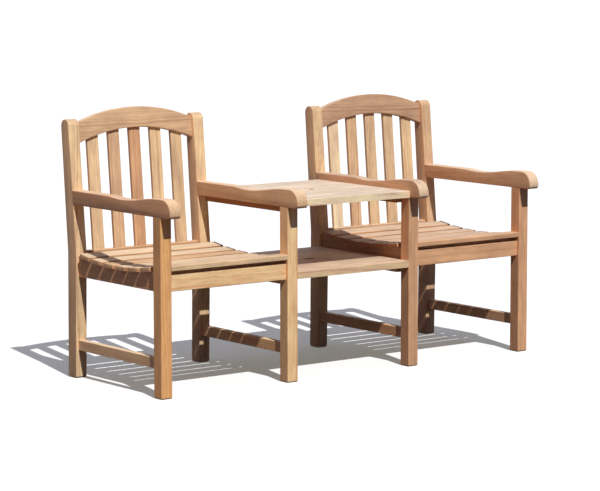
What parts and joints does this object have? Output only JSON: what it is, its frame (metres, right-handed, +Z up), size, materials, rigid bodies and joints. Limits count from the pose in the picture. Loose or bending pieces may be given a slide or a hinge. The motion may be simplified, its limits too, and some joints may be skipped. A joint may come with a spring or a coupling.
{
  "type": "companion seat bench",
  "caption": "Slatted teak armchairs joined side by side by a table top and a shelf, with a parasol hole through both boards.",
  "frame": {"origin": "on the floor, midway along the bench and midway between the arm noses and the backs of the rear posts", "axes": "+X to the right along the bench, as seen by someone who faces its front, -Y out of the front, +Z up"},
  "size_m": [1.599, 0.647, 0.9128],
  "materials": {
    "teak_legs": "sanded, unoiled",
    "teak_rails": "sanded, unoiled",
    "teak_slats": "sanded, unoiled",
    "teak_boards": "sanded, unoiled"
  },
  "bodies": {
    "root": {"left_chair_outer_front_leg": "teak_legs", "left_chair_outer_rear_post": "teak_legs", "left_chair_outer_arm": "teak_rails", "left_chair_outer_side_rail": "teak_rails", "left_chair_outer_stretcher": "teak_rails", "left_chair_inner_front_leg": "teak_legs", "left_chair_inner_rear_post": "teak_legs", "left_chair_inner_arm": "teak_rails", "left_chair_inner_side_rail": "teak_rails", "left_chair_inner_stretcher": "teak_rails", "left_chair_front_apron": "teak_rails", "left_chair_front_batten": "teak_rails", "left_chair_rear_rail": "teak_rails", "left_chair_crown_rail": "teak_rails", "left_chair_back_slat_1": "teak_slats", "left_chair_back_slat_2": "teak_slats", "left_chair_back_slat_3": "teak_slats", "left_chair_back_slat_4": "teak_slats", "left_chair_back_slat_5": "teak_slats", "left_chair_front_seat_slat": "teak_slats", "left_chair_seat_slat_1": "teak_slats", "left_chair_seat_slat_2": "teak_slats", "left_chair_seat_slat_3": "teak_slats", "left_chair_seat_slat_4": "teak_slats", "left_chair_seat_slat_5": "teak_slats", "left_chair_seat_slat_6": "teak_slats", "right_chair_outer_front_leg": "teak_legs", "right_chair_outer_rear_post": "teak_legs", "right_chair_outer_arm": "teak_rails", "right_chair_outer_side_rail": "teak_rails", "right_chair_outer_stretcher": "teak_rails", "right_chair_inner_front_leg": "teak_legs", "right_chair_inner_rear_post": "teak_legs", "right_chair_inner_arm": "teak_rails", "right_chair_inner_side_rail": "teak_rails", "right_chair_inner_stretcher": "teak_rails", "right_chair_front_apron": "teak_rails", "right_chair_front_batten": "teak_rails", "right_chair_rear_rail": "teak_rails", "right_chair_crown_rail": "teak_rails", "right_chair_back_slat_1": "teak_slats", "right_chair_back_slat_2": "teak_slats", "right_chair_back_slat_3": "teak_slats", "right_chair_back_slat_4": "teak_slats", "right_chair_back_slat_5": "teak_slats", "right_chair_front_seat_slat": "teak_slats", "right_chair_seat_slat_1": "teak_slats", "right_chair_seat_slat_2": "teak_slats", "right_chair_seat_slat_3": "teak_slats", "right_chair_seat_slat_4": "teak_slats", "right_chair_seat_slat_5": "teak_slats", "right_chair_seat_slat_6": "teak_slats", "table_top": "teak_boards", "shelf": "teak_boards", "left_table_cleat": "teak_rails", "left_shelf_cleat": "teak_rails", "right_table_cleat": "teak_rails", "right_shelf_cleat": "teak_rails"}
  },
  "joints": []
}
